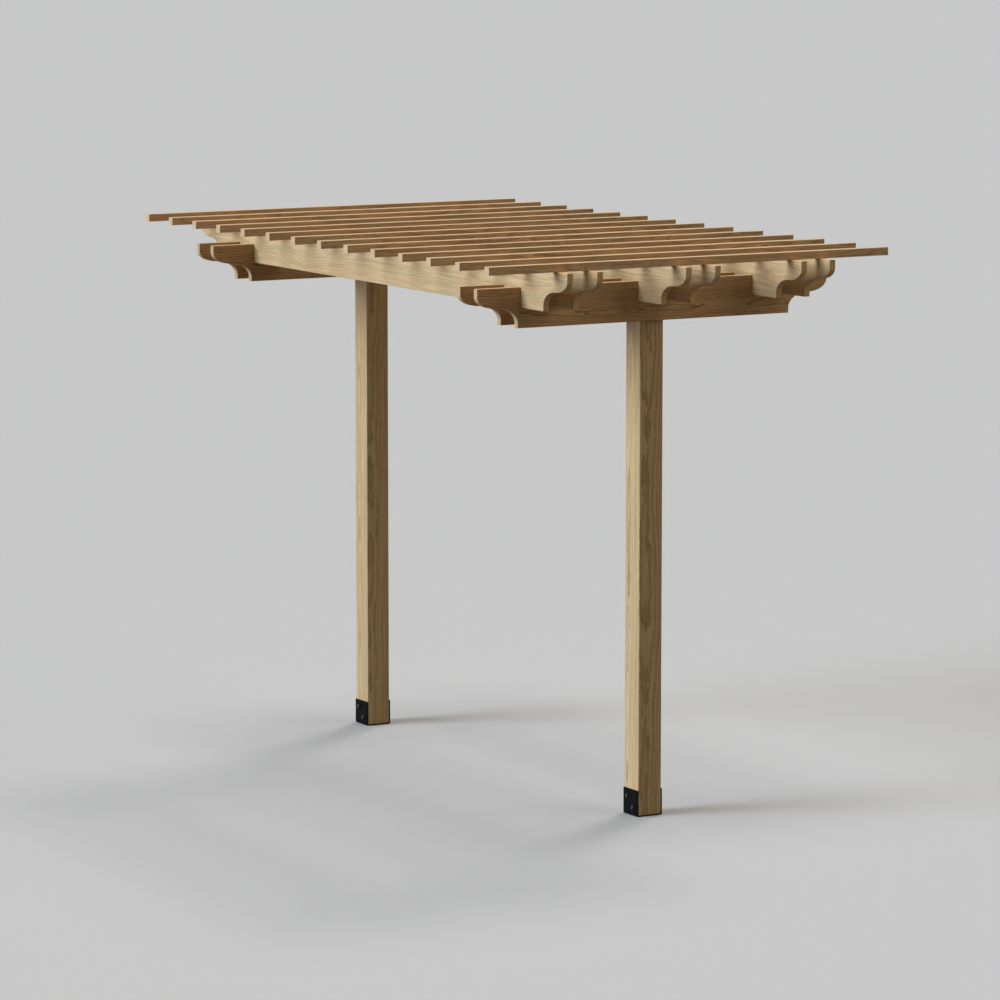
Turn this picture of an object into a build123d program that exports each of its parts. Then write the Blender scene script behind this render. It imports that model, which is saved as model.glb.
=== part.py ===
# Two-post timber pergola: a roof of rafters and purlins balanced over one line of posts.
#
# X runs along the beams and purlins, Y runs along the rafters and the line of posts, and Z is up.
# The origin is on the ground, midway between the two posts. All lengths are millimetres.
#
# Each post stands in a steel shoe and is clasped near its top by two beam planks, one on its
# front face and one on its back face. Six rafter planks cross them in three pairs, and the
# middle pair clasps both posts from the sides. Every rafter is cross-lapped over every beam
# plank, so that beams and rafters lock together like a basket. Purlins lie across the rafters.

from build123d import *
import os

# Posts
post_side = 140.0            # square section
post_spacing = 3000.0        # centre to centre, along Y
post_edge_ease = 3.0         # bevel on the long edges and round the foot, clear of the shoe's bends

# Planks, which beams and rafters are both cut from
plank_thickness = 35.0
plank_depth = 210.0
plank_edge_ease = 1.5        # small bevel round both broad faces

# Beams
beam_headroom = 2620.0       # ground to the underside of the beams
beam_overhang = 360.0        # from the middle of the last pair of rafters to a beam's tip

# Rafters
rafter_overhang = 570.0      # from a post's middle to a rafter's tip
rafter_pair_pitch = 700.0    # from the middle of one pair to the middle of the next
rafter_pair_count = 3

# Cross laps between rafters and beams
beam_notch_depth = 52.5      # cut down into a beam's top edge
rafter_notch_depth = 52.5    # cut up into a rafter's bottom edge
lap_play = 0.25              # gap on each side of a plank that stands in a notch

# Shaped tail on both ends of every beam and rafter
tail_upright = 42.0          # straight edge at the tip
tail_belly_reach = 119.0     # rounded belly under it, measured along the plank
tail_belly_drop = 63.0
tail_hollow_reach = 119.0    # hollow behind the belly
tail_hollow_drop = 79.0      # what is left below the hollow is a short upright edge

# Purlins
purlin_width = 45.0
purlin_height = 42.0
purlin_overhang = 500.0      # from the middle of the last pair of rafters to a purlin's end
purlin_setback = 120.0       # from a rafter's tip to the middle of the first purlin
purlin_count = 14
purlin_edge_ease = 1.5

# Steel shoes under the posts
shoe_plate = 6.0             # thickness of the folded steel
shoe_height = 140.0          # ground to the top of the side plates
shoe_depth = 140.0           # along Y
shoe_bend = 8.0              # outer radius of the two folds
anchor_bore = 18.0           # hole for the ground anchor, in the floor of the shoe
anchor_pocket = 44.0         # round recess in the post's foot that clears the anchor's nut
anchor_pocket_depth = 30.0

# Places that follow from the sizes above
beam_top = beam_headroom + plank_depth
rafter_bottom = beam_top - beam_notch_depth - rafter_notch_depth
rafter_top = rafter_bottom + plank_depth
rafter_length = post_spacing + 2 * rafter_overhang
roof_width = (rafter_pair_count - 1) * rafter_pair_pitch     # between the middles of the outer pairs
beam_length = roof_width + 2 * beam_overhang
purlin_length = roof_width + 2 * purlin_overhang
plank_offset = (post_side + plank_thickness) / 2     # from a post's middle to a plank that clasps it
pair_middles = [number * rafter_pair_pitch - roof_width / 2 for number in range(rafter_pair_count)]
rafter_places = [middle + side * plank_offset for middle in pair_middles for side in (-1, 1)]
post_places = {"front": -post_spacing / 2, "back": post_spacing / 2}
beam_places = {
    f"{post}_beam_{face}": y + side * plank_offset
    for post, y, faces in (
        ("front", post_places["front"], ("outer", "inner")),
        ("back", post_places["back"], ("inner", "outer")),
    )
    for face, side in zip(faces, (-1, 1))
}
purlin_reach = rafter_length / 2 - purlin_setback
purlin_pitch = 2 * purlin_reach / (purlin_count - 1)
purlin_places = [number * purlin_pitch - purlin_reach for number in range(purlin_count)]


def tailed_plank(length):
    """A plank along X, centred, with its underside at Z = 0 and a shaped tail at both ends."""
    tip = length / 2
    turn = tip - tail_belly_reach
    heel = turn - tail_hollow_reach
    belly_start = plank_depth - tail_upright
    belly_end = belly_start - tail_belly_drop
    hollow_end = belly_end - tail_hollow_drop
    with BuildPart() as plank:
        with BuildSketch(Plane.XZ):
            with BuildLine():
                Line((0, plank_depth), (tip, plank_depth))
                Line((tip, plank_depth), (tip, belly_start))
                EllipticalCenterArc(
                    (turn, belly_start), tail_belly_reach, tail_belly_drop,
                    start_angle=0, arc_size=-90
                )
                EllipticalCenterArc(
                    (turn, hollow_end), tail_hollow_reach, tail_hollow_drop,
                    start_angle=90, arc_size=90
                )
                Line((heel, hollow_end), (heel, 0))
                Line((heel, 0), (0, 0))
                mirror(about=Plane.YZ)
            make_face()
        extrude(amount=plank_thickness / 2, both=True)
        broad_faces = plank.faces().filter_by(Axis.Y)
        chamfer(broad_faces.edges(), length=plank_edge_ease)
    return plank.part


def notch_cutters(places, bottom, depth):
    """Blocks that cut one notch across a plank along X at each place, from bottom upwards."""
    slot = plank_thickness + 2 * lap_play
    align = (Align.CENTER, Align.CENTER, Align.MIN)
    return [Pos(place, 0, bottom) * Box(slot, 2 * plank_thickness, depth, align=align) for place in places]


def beam(y):
    """A beam plank with a notch in its top edge for each rafter."""
    floor = plank_depth - beam_notch_depth
    plank = tailed_plank(beam_length) - notch_cutters(rafter_places, floor, 2 * beam_notch_depth)
    return Pos(0, y, beam_headroom) * plank


def rafter(x):
    """A rafter plank with a notch in its bottom edge for each beam plank."""
    cutters = notch_cutters(beam_places.values(), -rafter_notch_depth, 2 * rafter_notch_depth)
    plank = tailed_plank(rafter_length) - cutters
    return Pos(x, 0, rafter_bottom) * Rot(0, 0, 90) * plank


def purlin(y):
    """A straight purlin that lies across the tops of the rafters."""
    with BuildPart() as bar:
        Box(purlin_length, purlin_width, purlin_height, align=(Align.CENTER, Align.CENTER, Align.MIN))
        chamfer(bar.edges().filter_by(Axis.X), length=purlin_edge_ease)
    return Pos(0, y, rafter_top) * bar.part


def post(y):
    """A square post from the floor of its shoe to the tops of the rafters."""
    with BuildPart() as stick:
        Box(
            post_side, post_side, rafter_top - shoe_plate,
            align=(Align.CENTER, Align.CENTER, Align.MIN)
        )
        long_edges = stick.edges().filter_by(Axis.Z)
        foot_edges = stick.faces().sort_by(Axis.Z)[0].edges()
        chamfer(long_edges + foot_edges, length=post_edge_ease)
        Cylinder(
            anchor_pocket / 2, anchor_pocket_depth,
            align=(Align.CENTER, Align.CENTER, Align.MIN), mode=Mode.SUBTRACT
        )
    return Pos(0, y, shoe_plate) * stick.part


def shoe(y):
    """A folded steel shoe: a floor under the post and a plate up each of its side faces."""
    outer = post_side + 2 * shoe_plate
    with BuildPart() as channel:
        with BuildSketch(Plane.XZ):
            Rectangle(outer, shoe_height, align=(Align.CENTER, Align.MIN))
            with Locations((0, shoe_plate)):
                Rectangle(
                    post_side, shoe_height, align=(Align.CENTER, Align.MIN), mode=Mode.SUBTRACT
                )
        extrude(amount=shoe_depth / 2, both=True)
        folds = channel.edges().filter_by(Axis.Y)
        fillet(folds.group_by(Axis.Z)[0], radius=shoe_bend)
        fillet(folds.group_by(Axis.Z)[1], radius=shoe_bend - shoe_plate)
        Cylinder(anchor_bore / 2, 4 * shoe_plate, mode=Mode.SUBTRACT)
    return Pos(0, y, 0) * channel.part


pieces = {}
for name, place in post_places.items():
    pieces[f"post_{name}"] = post(place)
    pieces[f"post_shoe_{name}"] = shoe(place)
for name, place in beam_places.items():
    pieces[name] = beam(place)
for number, place in enumerate(rafter_places, start=1):
    pieces[f"rafter_{number}"] = rafter(place)
for number, place in enumerate(purlin_places, start=1):
    pieces[f"purlin_{number:02d}"] = purlin(place)

os.makedirs("parts", exist_ok=True)
for name, shape in pieces.items():
    export_step(shape, f"parts/{name}.step")
    print(f"{name}: {shape.volume / 1e6:.2f} litres")
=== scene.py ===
# %% [markdown]
# # A two-post timber pergola
#
# The solids of the pergola come ready made, in metres, standing on the ground around the origin:
# two posts in steel shoes, four beam planks, six rafter planks and fourteen purlins. This lesson
# gives them their looks: a camera, a floor and light, sawn timber that is different on every
# stick, black steel, and the bolts that hold the posts in their shoes.

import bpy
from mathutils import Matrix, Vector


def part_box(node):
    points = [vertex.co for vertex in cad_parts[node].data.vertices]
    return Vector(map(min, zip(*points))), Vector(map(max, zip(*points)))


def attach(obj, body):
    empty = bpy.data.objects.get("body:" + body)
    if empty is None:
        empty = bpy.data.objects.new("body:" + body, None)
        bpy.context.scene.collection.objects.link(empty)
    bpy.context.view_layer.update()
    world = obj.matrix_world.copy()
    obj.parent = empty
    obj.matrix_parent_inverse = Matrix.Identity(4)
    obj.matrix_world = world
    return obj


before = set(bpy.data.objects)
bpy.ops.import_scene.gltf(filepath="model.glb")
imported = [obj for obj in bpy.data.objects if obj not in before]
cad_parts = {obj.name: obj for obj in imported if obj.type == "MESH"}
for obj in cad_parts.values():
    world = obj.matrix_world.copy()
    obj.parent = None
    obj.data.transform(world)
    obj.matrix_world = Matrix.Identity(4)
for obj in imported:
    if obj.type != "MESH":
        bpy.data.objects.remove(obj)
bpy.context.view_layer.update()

# %% [markdown]
# Loading leaves the solids selected, and every editing operator works on all that is selected.
# So the scene starts with nothing selected, and each new piece begins the same way.

# %% Start with nothing selected
import math
import random

import bpy
from mathutils import Euler, Matrix, Vector

bpy.ops.object.select_all(action="DESELECT")
scene = bpy.context.scene
scene.view_settings.view_transform = "Standard"

# %% [markdown]
# ## The camera
#
# The picture was taken from far off with a long lens, 30 degrees round to the left and about 5 m
# up, so it looks a little down on the roof. A camera looks along its own -Z axis. So it stands
# back from the point that it aims at, along the direction that its turn and its rise give.

# %% Set up the camera
camera_turn = math.radians(-29.78)
camera_rise = math.radians(7.90)
camera_distance = 26.271
camera_aim = Vector((-0.006, 0.003, 1.488))
lens_mm = 172.0
sensor_mm = 36.0
view_reach = 4000                   # past the floor's edge

camera_back = Vector((
    math.sin(camera_turn) * math.cos(camera_rise),
    -math.cos(camera_turn) * math.cos(camera_rise),
    math.sin(camera_rise),
))
camera_place = camera_aim + camera_back * camera_distance
camera_angles = (math.pi / 2 - camera_rise, 0, camera_turn)
bpy.ops.object.camera_add(location=camera_place, rotation=camera_angles)
camera = bpy.context.object
camera.name = "camera"
camera.data.sensor_fit = "HORIZONTAL"
camera.data.sensor_width = sensor_mm
camera.data.lens = lens_mm
camera.data.clip_end = view_reach
scene.camera = camera
print("camera at", camera_place)

# %% [markdown]
# ## A helper for materials
#
# A material is a tree of nodes. Building one takes the same three steps again and again: add a
# node, set its options, and feed each of its inputs with a value or with another node's output.
# One small function does all three, so that what follows reads as a list of what the finish does.

# %% Node helpers
def put(tree, kind, feeds=(), **options):
    """Adds a node of this kind, sets its options, and feeds its inputs with values or outputs."""
    node = tree.nodes.new(kind)
    for option, value in options.items():
        setattr(node, option, value)
    for socket, feed in dict(feeds).items():
        if isinstance(feed, bpy.types.NodeSocket):
            tree.links.new(feed, node.inputs[socket])
        else:
            node.inputs[socket].default_value = feed
    return node


def calculate(tree, operation, *values, clamp=False):
    """The output of a Math node on these values or outputs."""
    return put(tree, "ShaderNodeMath", enumerate(values), operation=operation, use_clamp=clamp).outputs[0]


def vector_step(tree, operation, *values):
    """The vector that a Vector Math node makes of these values or outputs."""
    return put(tree, "ShaderNodeVectorMath", enumerate(values), operation=operation).outputs[0]


def distance(tree, vector):
    """The length of a vector."""
    return put(tree, "ShaderNodeVectorMath", {0: vector}, operation="LENGTH").outputs["Value"]


def blend_colours(tree, share, first, second, how="MIX"):
    """The colour that a Mix node makes of two colours."""
    # Its sockets for numbers and vectors come first, so the colours go in at 6 and 7 and out at 2
    feeds = {0: share, 6: first, 7: second}
    return put(tree, "ShaderNodeMix", feeds, data_type="RGBA", blend_type=how).outputs[2]


def smooth_step(tree, value, start, end, low=0.0, high=1.0):
    """Goes softly from low to high while the value goes from start to end."""
    feeds = {"Value": value, "From Min": start, "From Max": end, "To Min": low, "To Max": high}
    return put(tree, "ShaderNodeMapRange", feeds, interpolation_type="SMOOTHSTEP").outputs[0]


def stretched_noise(tree, place, scale, detail=3.0, roughness=0.55, output="Fac"):
    """Noise on a place that is first scaled by its own amount along each axis."""
    scaled = vector_step(tree, "MULTIPLY", place, scale)
    feeds = {"Vector": scaled, "Scale": 1.0, "Detail": detail, "Roughness": roughness}
    return put(tree, "ShaderNodeTexNoise", feeds, noise_dimensions="3D").outputs[output]


def new_material(name):
    """An empty material with a Principled shader, and its tree."""
    material = bpy.data.materials.new(name)
    material.use_nodes = True
    return material, material.node_tree, material.node_tree.nodes["Principled BSDF"]


# %% [markdown]
# ## Floor and light
#
# The pergola stands on a plain pale floor with no visible edge. Seen by the camera and in
# reflections the floor is pale, but the light that it throws back up is that of a dark grey, so
# that the undersides stay in shade. A Light Path node tells the two apart. Both greys are a little
# warm, against the cool key light. The plane reaches far past the horizon of a low view, and the
# world behind it shows the same pale grey as the lit floor.

# %% Lay the floor
floor_reach = 1500.0
floor_shown = (0.510, 0.495, 0.481, 1)
floor_bounce = (0.096, 0.090, 0.084, 1)
floor_roughness = 0.9
backdrop_shown = (0.57, 0.57, 0.57, 1)


def seen_directly(tree):
    """1 for camera, mirror and glass rays, and 0 for the light that surfaces pass on."""
    path = put(tree, "ShaderNodeLightPath")
    seen = calculate(tree, "ADD", path.outputs["Is Camera Ray"], path.outputs["Is Glossy Ray"])
    return calculate(tree, "ADD", seen, path.outputs["Is Transmission Ray"], clamp=True)


bpy.ops.mesh.primitive_plane_add(size=2 * floor_reach, location=(0, 0, 0))
floor = bpy.context.object
floor.name = "floor"
floor_finish, tree, shader = new_material("pale_floor")
shader.inputs["Roughness"].default_value = floor_roughness
shader.inputs["Specular IOR Level"].default_value = 0.0
floor_colour = blend_colours(tree, seen_directly(tree), floor_bounce, floor_shown)
tree.links.new(floor_colour, shader.inputs["Base Color"])
floor.data.materials.append(floor_finish)
bpy.ops.object.select_all(action="DESELECT")
print("floor", 2 * floor_reach, "m wide")

# %% [markdown]
# Soft lights show the timber's form. The key light is tall and slightly cool. It stands to the left
# and a little behind, and reaches from near the ground to well above the roof, so two lamps make
# it, one low and one high. A weaker lamp stands high behind on the right, and another hangs
# overhead and makes the tops of the purlins the brightest strips. The faces towards the camera get
# a weak warm light from the front right. The sky is very faint: an even sky would reach into every
# gap, and the deep shade between two planks is what shows that they stand apart. Sun lamps with a
# wide disc are used, because their shadows soften with distance, and the floor stays evenly lit
# out to the horizon. A sun lamp of strength pi, straight above a surface, shows its colour about
# as it is written, so a lamp's level is its strength as a share of pi.

# %% Place the lights
lamp_distance = 10                  # only for show: a sun lamp shines alike from any place


def soft_sun(name, heading, rise, level, disc, colour):
    """A sun lamp at this heading, from +X towards +Y, and this rise. All angles are degrees."""
    turn = math.radians(heading)
    lift = math.radians(rise)
    towards = Vector((math.cos(turn) * math.cos(lift), math.sin(turn) * math.cos(lift), math.sin(lift)))
    angles = towards.to_track_quat("Z", "Y").to_euler()
    bpy.ops.object.light_add(type="SUN", location=towards * lamp_distance, rotation=angles)
    lamp = bpy.context.object
    lamp.name = name
    lamp.data.energy = math.pi * level
    lamp.data.angle = math.radians(disc)
    lamp.data.color = colour
    return lamp


cool = (1.0, 1.14, 1.31)
warm = (1.0, 0.93, 0.77)
white = (1.0, 1.0, 1.0)
lamps = [
    soft_sun("key_light_low", heading=168, rise=9, level=0.34, disc=18, colour=cool),
    soft_sun("key_light_high", heading=168, rise=28, level=0.60, disc=34, colour=cool),
    soft_sun("back_light", heading=34, rise=52, level=0.27, disc=14, colour=white),
    soft_sun("top_light", heading=90, rise=88, level=0.46, disc=22, colour=white),
    soft_sun("fill_light", heading=-50, rise=25, level=0.22, disc=50, colour=warm),
]
print(len(lamps), "lamps")

# %% Hang the sky
sky_level = 0.03
sky_colour = (1.0, 0.87, 0.68, 1)
world = scene.world or bpy.data.worlds.new("sky")
scene.world = world
world.use_nodes = True
tree = world.node_tree
background = tree.nodes["Background"]
shown = seen_directly(tree)
sky_shown = blend_colours(tree, shown, sky_colour, backdrop_shown)
tree.links.new(sky_shown, background.inputs["Color"])
tree.links.new(smooth_step(tree, shown, 0, 1, sky_level, 1.0), background.inputs["Strength"])
bpy.ops.object.select_all(action="DESELECT")
print("sky", sky_level)

# %% [markdown]
# ## Timber
#
# Every stick is planed from a log, so its pattern is a slice through growth rings: long arches
# where the rings lie flat to a face, straight lines where they stand upright to it, and curves
# on the sawn ends. A picture wrapped round a stick would not agree at the corners. A solid
# pattern does, because it gives each point in space its colour. So the first step is to say
# where a point lies in the log: a Mapping node turns and moves the stick until X runs up the
# log's heart, its pith. The same turn tells how squarely a surface faces along the grain, and
# how squarely it faces out of a plank's broad side, which is Y in the log.

# %% Where a point lies in its log
# Degrees, for each direction of the grain
turn_to_log = {"X": (0, 0, 0), "Y": (0, 0, -90), "Z": (0, 90, 0)}
faces_partly = 0.60                 # cosine between a surface's normal and a direction
faces_fully = 0.98


def log_frame(tree, name, along, pith, lean):
    """A stick's points in metres from the pith, 1 on its sawn ends, and 1 off its broad faces."""
    low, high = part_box(name)
    base = turn_to_log[along]
    angles = (base[0], base[1] + lean[0], base[2] + lean[1])
    turn = Euler([math.radians(angle) for angle in angles])
    shift = Vector(pith) - turn.to_matrix() @ ((low + high) / 2)
    points = put(tree, "ShaderNodeTexCoord").outputs
    feeds = {"Vector": points["Object"], "Location": shift, "Rotation": turn}
    place = put(tree, "ShaderNodeMapping", feeds, vector_type="POINT").outputs[0]
    feeds = {"Vector": points["Normal"], "Rotation": turn}
    facing = put(tree, "ShaderNodeMapping", feeds, vector_type="VECTOR").outputs[0]
    facing = put(tree, "ShaderNodeSeparateXYZ", {0: facing}).outputs
    up_the_grain = calculate(tree, "ABSOLUTE", facing["X"])
    out_of_broad_side = calculate(tree, "ABSOLUTE", facing["Y"])
    sawn_end = smooth_step(tree, up_the_grain, faces_partly, faces_fully)
    narrow_side = smooth_step(tree, out_of_broad_side, faces_fully, faces_partly)
    return place, sawn_end, narrow_side


# %% [markdown]
# A few small knots are the feet of branches. Voronoi noise scatters its points singly, so the
# distance to the nearest point makes a knot, and only some points are used. The rings swerve
# round a knot well before they reach it, which is what makes it look grown and not painted.

# %% Knots
knot_cell = (1.2, 5.5, 5.5)         # points of the Voronoi noise per metre, up the log and across it
knot_scatter = 0.85                 # how freely the points lie in their cells
knot_share = 0.30                   # how many of the points carry a knot
knot_radius = 0.008
knot_core = 0.6                     # the share of the radius that is fully dark
knot_squeeze = 0.6                  # distances up the log count less, which draws a knot out
knot_swerve = 0.070                 # how far round a knot the rings bend


def knots(tree, place):
    """1 in the heart of a knot, and how much the rings swerve near it."""
    cell_place = vector_step(tree, "MULTIPLY", place, knot_cell)
    feeds = {"Vector": cell_place, "Scale": 1.0, "Randomness": knot_scatter}
    seeds = put(tree, "ShaderNodeTexVoronoi", feeds).outputs
    offset = vector_step(tree, "SUBTRACT", cell_place, seeds["Position"])
    to_metres = (knot_squeeze / knot_cell[0], 1 / knot_cell[1], 1 / knot_cell[2])
    away = distance(tree, vector_step(tree, "MULTIPLY", offset, to_metres))
    chance = put(tree, "ShaderNodeSeparateColor", {0: seeds["Color"]}).outputs[0]
    present = calculate(tree, "LESS_THAN", chance, knot_share)
    in_heart = smooth_step(tree, away, knot_radius, knot_core * knot_radius)
    heart = calculate(tree, "MULTIPLY", in_heart, present)
    swerve = calculate(tree, "MULTIPLY", smooth_step(tree, away, knot_swerve, 0.0), present)
    return heart, swerve


# %% [markdown]
# A ring is a year. It starts pale and soft, darkens slowly through the summer and stops short at
# the next spring, so the distance from the pith is counted in rings and only its fraction
# colours the wood: a power of it stays low for long and makes the dark line narrow. No log is
# straight. Slow noise bends the pith, which opens the arches along a plank, quicker noise ripples
# them, and fine noise frays each ring. Wet and dry years make dark and faint rings.

# %% Growth rings
bend_grid = (1.1, 4, 4)             # noise per metre, up the log and across it
ripple_grid = (7, 24, 24)
fray_grid = (20, 150, 150)
noise_middle = (0.5, 0.5, 0.5)
fray_depth = 0.45                   # in rings
knot_rings = 3.0                    # how many rings bend round a knot
summer_power = 3.2                  # the higher, the narrower the dark line
spring_start = 0.94                 # the share of the year at which the dark line stops
faintest_ring = 0.45                # against the darkest one


def growth_rings(tree, place, swerve, per_metre, bend, ripple):
    """The bent grain, and 0 in early wood up to 1 in dark late wood."""
    noise = stretched_noise(tree, place, bend_grid, detail=2.0, output="Color")
    noise = vector_step(tree, "SUBTRACT", noise, noise_middle)
    grain = vector_step(tree, "ADD", place, vector_step(tree, "MULTIPLY", noise, (0, bend, bend)))
    radius = distance(tree, vector_step(tree, "MULTIPLY", grain, (0, 1, 1)))
    wave = stretched_noise(tree, place, ripple_grid, detail=2.0)
    fray = stretched_noise(tree, place, fray_grid, detail=3.0)
    ring = calculate(tree, "MULTIPLY", radius, per_metre)
    ring = calculate(tree, "MULTIPLY_ADD", wave, ripple, ring)
    ring = calculate(tree, "MULTIPLY_ADD", fray, fray_depth, ring)
    ring = calculate(tree, "MULTIPLY_ADD", swerve, knot_rings, ring)
    season = calculate(tree, "FRACT", ring)
    summer = calculate(tree, "POWER", season, summer_power)
    before_spring = smooth_step(tree, season, spring_start, 1.0, 1.0, 0.0)
    year = calculate(tree, "FLOOR", ring)
    weather = put(tree, "ShaderNodeTexWhiteNoise", {"W": year}, noise_dimensions="1D").outputs["Value"]
    late = calculate(tree, "MULTIPLY", summer, before_spring)
    late = calculate(tree, "MULTIPLY", late, smooth_step(tree, weather, 0, 1, faintest_ring, 1.0))
    return grain, late


# %% [markdown]
# Between the rings the wood is made of fibres. Three noises stretched along the grain stand for
# them, from broad streaks of another tone, through bands as wide as a finger, to fine hairs.
# Small dark pores lie among them. Planing leaves the hard late wood a little proud and smooth and
# the pores a little hollow, so the same values also feed the bump and the roughness.

# %% Fibres and pores
streak_grid = (0.6, 26, 26)         # noise per metre, up the log and across it
band_grid = (1.4, 110, 110)
hair_grid = (7, 450, 450)
pore_grid = (28, 1200, 1200)
streak_span = (0.30, 0.70)          # the part of the noise that goes from one tone to the other
band_span = (0.28, 0.72)
hair_span = (0.25, 0.75)
pore_span = (0.60, 0.72)
band_tones = (0.87, 1.10)           # darkest and lightest
hair_tones = (0.84, 1.12)
pore_tone = 0.80
pore_hollow = -0.8                  # against the height of a hair


def fibres(tree, grain):
    """The broad streaks, a factor for lightness, and the relief of the fine hairs."""
    streak = smooth_step(tree, stretched_noise(tree, grain, streak_grid), *streak_span)
    band = stretched_noise(tree, grain, band_grid, detail=2.0)
    band_tone = smooth_step(tree, band, *band_span, *band_tones)
    hair = stretched_noise(tree, grain, hair_grid, detail=4.0, roughness=0.65)
    hair_tone = smooth_step(tree, hair, *hair_span, *hair_tones)
    pore = smooth_step(tree, stretched_noise(tree, grain, pore_grid, detail=2.0), *pore_span)
    lightness = calculate(tree, "MULTIPLY", band_tone, hair_tone)
    lightness = calculate(tree, "MULTIPLY", lightness, smooth_step(tree, pore, 0, 1, 1.0, pore_tone))
    relief = calculate(tree, "MULTIPLY_ADD", pore, pore_hollow, hair)
    return streak, lightness, relief


# %% [markdown]
# The finish mixes the two woods by the rings, warms or cools them by the streaks, and darkens
# them by fibres and pores. Each kind of stick has its own tint, one on its broad faces and one on
# its narrow sides, shaped tails and ends, and these tints are painted light and shade: the beams'
# broad faces are painted darker and redder for the shade under the roof, the purlins' broad faces
# and the rafters' tails and ends redder and darker as painted shade, and the purlins' narrow sides
# paler as a painted highlight on their tops. Weathered end grain goes dark, but these ends are
# freshly sanded and, but for the painted shade, as pale as the faces, with faint rings. The oiled
# surface is matt and has hardly any gloss, so that the shade between planks stays as warm and deep
# as the wood makes it.

# %% The finish of one stick
early_wood = (0.662, 0.462, 0.251, 1)
late_wood = (0.330, 0.188, 0.074, 1)
knot_wood = (0.190, 0.095, 0.042, 1)
warm_streak = (1.03, 0.98, 0.94, 1)
cool_streak = (0.965, 0.995, 1.00, 1)
sawn_end_contrast = 0.6             # of the rings, against that on the long faces
early_roughness = 0.68
late_roughness = 0.54
timber_gloss = 0.04
hair_height = 0.6                   # against the height of the late wood
relief_strength = 0.5
relief_height = 0.0004


def timber(name, cut, pith, lean, per_metre, tone):
    """A stick's material: rings about its pith, fibres, pores and knots."""
    material, tree, shader = new_material(f"timber_{name}")
    place, sawn_end, narrow_side = log_frame(tree, name, cut["along"], pith, lean)
    heart, swerve = knots(tree, place)
    grain, late = growth_rings(tree, place, swerve, per_metre, cut["bend"], cut["ripple"])
    streak, lightness, relief = fibres(tree, grain)

    contrast = smooth_step(tree, sawn_end, 0, 1, cut["contrast"], sawn_end_contrast * cut["contrast"])
    late = calculate(tree, "MULTIPLY", late, contrast)
    colour = blend_colours(tree, late, early_wood, late_wood)
    hue = blend_colours(tree, streak, warm_streak, cool_streak)
    colour = blend_colours(tree, 1.0, colour, hue, "MULTIPLY")
    colour = blend_colours(tree, heart, colour, knot_wood)
    # The tint is painted light and shade: darker, redder beam fronts, purlin fronts and rafter tails
    # where shade falls, and paler purlin tops as a painted highlight.
    painted_light_and_shade_tint = blend_colours(tree, narrow_side, cut["face_painted_shade_tint"], cut["side_painted_light_and_shade_tint"])
    colour = blend_colours(tree, 1.0, colour, painted_light_and_shade_tint, "MULTIPLY")
    lightness = calculate(tree, "MULTIPLY", lightness, tone)
    shade = put(tree, "ShaderNodeCombineColor", {0: lightness, 1: lightness, 2: lightness}).outputs[0]
    colour = blend_colours(tree, 1.0, colour, shade, "MULTIPLY")
    tree.links.new(colour, shader.inputs["Base Color"])
    roughness = smooth_step(tree, late, 0, 1, early_roughness, late_roughness)
    tree.links.new(roughness, shader.inputs["Roughness"])
    shader.inputs["Specular IOR Level"].default_value = timber_gloss

    height = calculate(tree, "MULTIPLY_ADD", relief, hair_height, late)
    feeds = {"Height": height, "Strength": relief_strength, "Distance": relief_height}
    bump = put(tree, "ShaderNodeBump", feeds)
    tree.links.new(bump.outputs[0], shader.inputs["Normal"])
    return material


# %% [markdown]
# Each stick comes from its own log. The heart of a plank's log lies behind one of its broad
# faces, so that the rings lie flat there and arch along it. A post is thick enough to hold the
# heart, which lies towards one of its corners, so that most of its grain is straight. The numbers
# are drawn from the stick's name as a seed, so every run gives the same ones.

# %% Give every stick its own timber
log_reach = 6                       # how far along its log a stick may be sawn, either way
lean_limit = 0.5                    # degrees between stick and log
rings_per_metre = (75, 105)
tones = (0.96, 1.04)
stock = {
    # heart: metres from the pith to the stick's middle, out of its broad face and along its width.
    # spread: how far each of them may differ. bend: the width in metres that the pith wanders over.
    # ripple: how wavy the rings are. contrast: how dark they get.
    # face and side tints: painted shade and painted highlight, one colour factor on the broad faces and
    # one on the narrow sides, tails and ends.
    "post": {
        "along": "Z", "heart": (-0.030, -0.045), "spread": (0.012, 0.020),
        "bend": 0.05, "ripple": 1.1, "contrast": 1.05,
        "face_painted_shade_tint": (1.0, 1.0, 1.0, 1), "side_painted_light_and_shade_tint": (1.0, 1.0, 1.0, 1),
    },
    "beam": {
        "along": "X", "heart": (0.045, 0.000), "spread": (0.012, 0.040),
        "bend": 0.11, "ripple": 2.2, "contrast": 1.2,
        "face_painted_shade_tint": (1.00, 0.91, 0.88, 1), "side_painted_light_and_shade_tint": (1.00, 0.98, 1.02, 1),
    },
    "rafter": {
        "along": "Y", "heart": (0.050, 0.000), "spread": (0.015, 0.050),
        "bend": 0.08, "ripple": 1.0, "contrast": 0.37,
        "face_painted_shade_tint": (0.99, 1.00, 1.02, 1), "side_painted_light_and_shade_tint": (1.02, 0.94, 0.88, 1),
    },
    "purlin": {
        "along": "X", "heart": (0.070, 0.000), "spread": (0.030, 0.050),
        "bend": 0.11, "ripple": 1.0, "contrast": 0.75,
        "face_painted_shade_tint": (1.02, 0.94, 0.95, 1), "side_painted_light_and_shade_tint": (1.06, 1.08, 1.23, 1),
    },
}


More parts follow.
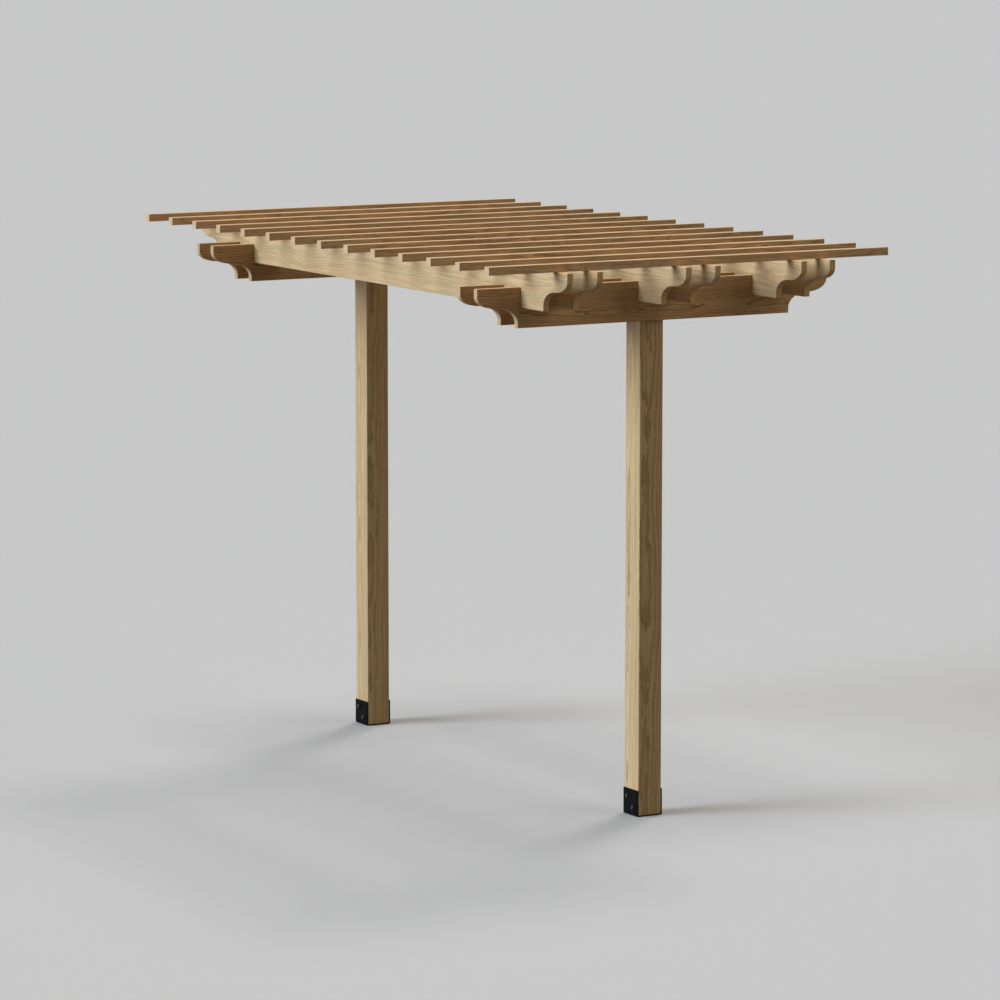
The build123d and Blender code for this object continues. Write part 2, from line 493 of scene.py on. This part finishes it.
def dress_stick(name):
    """Gives a stick a timber of its own."""
    cut = next(cut for kind, cut in stock.items() if kind in name)
    draw = random.Random(name)
    pith = [draw.uniform(-log_reach, log_reach)]
    for middle, spread in zip(cut["heart"], cut["spread"]):
        pith.append(middle + draw.uniform(-spread, spread))
    lean = [draw.uniform(-lean_limit, lean_limit) for _ in range(2)]
    per_metre = draw.uniform(*rings_per_metre)
    tone = draw.uniform(*tones)
    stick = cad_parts[name]
    stick.data.materials.clear()
    stick.data.materials.append(timber(name, cut, pith, lean, per_metre, tone))


sticks = [name for name in sorted(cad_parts) if "shoe" not in name]
for name in sticks:
    dress_stick(name)
print(len(sticks), "sticks, each with its own timber")

# %% [markdown]
# ## Black steel
#
# The shoes are folded from plate and powder coated in black. Powder melts into a skin with a
# faint orange-peel swell, so the shine breaks up softly. Handling rubs the coat a little, which
# shows as patches that are slightly paler and smoother. The bolts have the same coat, glossier.

# %% Powder-coated steel
swell_grid = (700, 700, 700)        # noise per metre
rub_grid = (28, 28, 28)
rub_span = (0.35, 0.7)              # the part of the noise that goes from fresh to rubbed
rubbed_paler = 1.5
rubbed_smoother = 0.09
swell_strength = 0.35
swell_height = 0.0002


def powder_coat(name, colour, roughness, gloss):
    """Black satin powder coat with its fine swell."""
    material, tree, shader = new_material(name)
    place = put(tree, "ShaderNodeTexCoord").outputs["Object"]
    swell = stretched_noise(tree, place, swell_grid, detail=2.0)
    rub = stretched_noise(tree, place, rub_grid, detail=4.0)
    rubbed = smooth_step(tree, rub, *rub_span)
    paler = [value * rubbed_paler for value in colour[:3]] + [1]
    tree.links.new(blend_colours(tree, rubbed, colour, paler), shader.inputs["Base Color"])
    worn_roughness = smooth_step(tree, rub, *rub_span, roughness, roughness - rubbed_smoother)
    tree.links.new(worn_roughness, shader.inputs["Roughness"])
    shader.inputs["Specular IOR Level"].default_value = gloss
    feeds = {"Height": swell, "Strength": swell_strength, "Distance": swell_height}
    bump = put(tree, "ShaderNodeBump", feeds)
    tree.links.new(bump.outputs[0], shader.inputs["Normal"])
    return material


shoe_black = (0.0040, 0.0042, 0.0041, 1)
bolt_black = (0.0100, 0.0105, 0.0110, 1)
shoe_finish = powder_coat("black_powder_coat", shoe_black, roughness=0.58, gloss=0.03)
bolt_finish = powder_coat("black_bolts", bolt_black, roughness=0.30, gloss=0.50)
shoes = ("post_shoe_front", "post_shoe_back")
for name in shoes:
    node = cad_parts[name]
    node.data.materials.clear()
    node.data.materials.append(shoe_finish)
print(len(shoes), "shoes in", shoe_finish.name)

# %% [markdown]
# ## Bolts
#
# Two bolts go through each shoe and its post, one high and one low, and set apart from front to
# back so that they don't split the timber along one line of grain. A washer spreads the load
# under the head and under the nut. After forging, a hexagonal head is turned on a lathe: a cone
# cuts its corners and leaves a round, flat crown. The same cut is made here. The prism is kept
# only where it lies inside a disc with a sloped rim, by a Boolean modifier, which gives the
# arched edges that a plain bevel doesn't have.

# %% Helpers for modelling
level_enough = 0.9                  # upward part of a level face's normal


def add(primitive, **settings):
    """A new primitive with nothing else selected."""
    bpy.ops.object.select_all(action="DESELECT")
    primitive(**settings)
    bpy.ops.object.transform_apply(location=True, rotation=True, scale=True)
    return bpy.context.object


def select_faces(keep):
    """Opens the active mesh for editing with only the faces selected for which keep(face) is true."""
    bpy.ops.object.mode_set(mode="EDIT")
    bpy.ops.mesh.select_mode(type="FACE")
    bpy.ops.mesh.select_all(action="DESELECT")
    bpy.ops.object.mode_set(mode="OBJECT")
    for face in bpy.context.object.data.polygons:
        face.select = keep(face)
    bpy.ops.object.mode_set(mode="EDIT")


def is_top(face):
    """Whether a face is level and points upwards."""
    return face.normal.z > level_enough


def is_level(face):
    """Whether a face is level and points upwards or downwards."""
    return abs(face.normal.z) > level_enough


# %% A turned hexagon
across_flats = 0.019
corner_radius = across_flats / 2 / math.cos(math.pi / 6)
crown_radius = 0.0088
turning_slope = math.radians(30)
turning_sides = 64
rim_spare = 1.05                    # the disc's rim against the hexagon's corners, so that it clears them


def turned_hexagon(name, base, height):
    """A hexagonal prism that stands on Z = base, with its upper corners turned off."""
    cylinder = bpy.ops.mesh.primitive_cylinder_add
    middle = (0, 0, base + height / 2)
    hexagon = add(cylinder, vertices=6, radius=corner_radius, depth=height, location=middle)
    hexagon.name = name
    rim = rim_spare * corner_radius
    disc = add(cylinder, vertices=turning_sides, radius=rim, depth=height, location=middle)
    rim_drop = (rim - crown_radius) * math.tan(turning_slope)
    select_faces(is_top)
    bpy.ops.transform.translate(value=(0, 0, -rim_drop))
    bpy.ops.mesh.extrude_region_move(TRANSFORM_OT_translate={"value": (0, 0, rim_drop)})
    taper = crown_radius / rim
    bpy.ops.transform.resize(value=(taper, taper, 1))
    bpy.ops.object.mode_set(mode="OBJECT")

    bpy.ops.object.select_all(action="DESELECT")
    bpy.context.view_layer.objects.active = hexagon
    hexagon.select_set(True)
    turning = hexagon.modifiers.new("turning", "BOOLEAN")
    turning.operation = "INTERSECT"
    turning.object = disc
    bpy.ops.object.modifier_apply(modifier=turning.name)
    bpy.data.objects.remove(disc)
    return hexagon


# %% [markdown]
# The washer is a disc with its rim broken all round. The bolt's end stands out of the nut by a few
# turns of thread. A real thread is a helix, but at this size its ridges can't be told from rings,
# so they are rings: the end is extruded upwards in short steps that widen and narrow by turns.

# %% Washers and the bolt's end
washer_radius = 0.012
washer_thickness = 0.0025
washer_edge = 0.0005
washer_sides = 48
bolt_radius = 0.006
bolt_sides = 32
thread_depth = 0.0006
thread_pitch = 0.00175
thread_turns = 4
stub_height = 0.001                 # plain stub under the thread
end_slope_width = 0.0012            # the bolt's end is a low cone with a flat tip
end_slope_height = 0.0005


def washer(name):
    """A washer that lies on Z = 0."""
    disc = add(
        bpy.ops.mesh.primitive_cylinder_add, vertices=washer_sides, radius=washer_radius,
        depth=washer_thickness, location=(0, 0, washer_thickness / 2),
    )
    disc.name = name
    select_faces(is_level)
    bpy.ops.mesh.bevel(offset=washer_edge, segments=2, affect="EDGES")
    bpy.ops.object.mode_set(mode="OBJECT")
    return disc


def bolt_end(name, base):
    """The threaded end of a bolt, which stands on Z = base."""
    root = bolt_radius - thread_depth
    end = add(
        bpy.ops.mesh.primitive_cylinder_add, vertices=bolt_sides, radius=root, depth=stub_height,
        location=(0, 0, base + stub_height / 2),
    )
    end.name = name
    select_faces(is_top)
    step = {"value": (0, 0, thread_pitch / 2)}
    for scale in thread_turns * (bolt_radius / root, root / bolt_radius):
        bpy.ops.mesh.extrude_region_move(TRANSFORM_OT_translate=step)
        bpy.ops.transform.resize(value=(scale, scale, 1))
    bpy.ops.mesh.inset(thickness=end_slope_width, depth=end_slope_height)
    bpy.ops.object.mode_set(mode="OBJECT")
    return end


# %% [markdown]
# Each of the two outer sides is one piece: washer and head on the left, washer, nut and bolt's end
# on the right. They are joined while they stand upright at the origin. Then copies are turned
# sideways and moved to their holes, each with a mesh of its own, so that every finished object
# sits at the origin and has its place in its mesh, as the solids have.

# %% Assemble a bolt's head and its nut
head_height = 0.0075
nut_height = 0.0100
smooth_below = math.radians(28)     # faces that meet at less than this are shaded as one


def join(name, parts):
    """Joins parts into one object and rounds their shading where faces meet at a low angle."""
    bpy.ops.object.select_all(action="DESELECT")
    for part in parts:
        part.select_set(True)
    bpy.context.view_layer.objects.active = parts[0]
    bpy.ops.object.join()
    bpy.ops.object.shade_smooth_by_angle(angle=smooth_below)
    bpy.context.object.name = name
    return bpy.context.object


head = join("bolt_head", [washer("head_washer"), turned_hexagon("head", washer_thickness, head_height)])
nut = join("bolt_nut", [
    washer("nut_washer"),
    turned_hexagon("nut", washer_thickness, nut_height),
    bolt_end("bolt_end", washer_thickness + nut_height),
])
print("head", len(head.data.polygons), "faces, nut", len(nut.data.polygons), "faces")

# %% Put the bolts in the shoes
# How far behind the post's middle, and how high
bolt_offsets = {"upper": (0.028, 0.100), "lower": (-0.028, 0.046)}
hexagon_turn = 60                   # degrees, after which a hexagon looks the same
draw = random.Random("bolts")
placed = []
for post in ("front", "back"):
    low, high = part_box(f"post_shoe_{post}")
    middle = (low + high) / 2
    for level, (across, rise) in bolt_offsets.items():
        for model, side, plate in ((head, "left", low.x), (nut, "right", high.x)):
            piece = model.copy()
            piece.data = model.data.copy()
            piece.name = f"{model.name}_{post}_{level}"
            scene.collection.objects.link(piece)
            outwards = Vector((-1 if side == "left" else 1, 0, 0))
            spin = Matrix.Rotation(math.radians(draw.uniform(0, hexagon_turn)), 4, "Z")
            tip_over = outwards.to_track_quat("Z", "Y").to_matrix().to_4x4()
            place = Matrix.Translation((plate, middle.y + across, rise))
            piece.data.transform(place @ tip_over @ spin)
            piece.data.materials.clear()
            piece.data.materials.append(bolt_finish)
            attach(piece, "root")
            placed.append(piece.name)
bpy.data.objects.remove(head)
bpy.data.objects.remove(nut)
print(len(placed), "bolt heads and nuts")
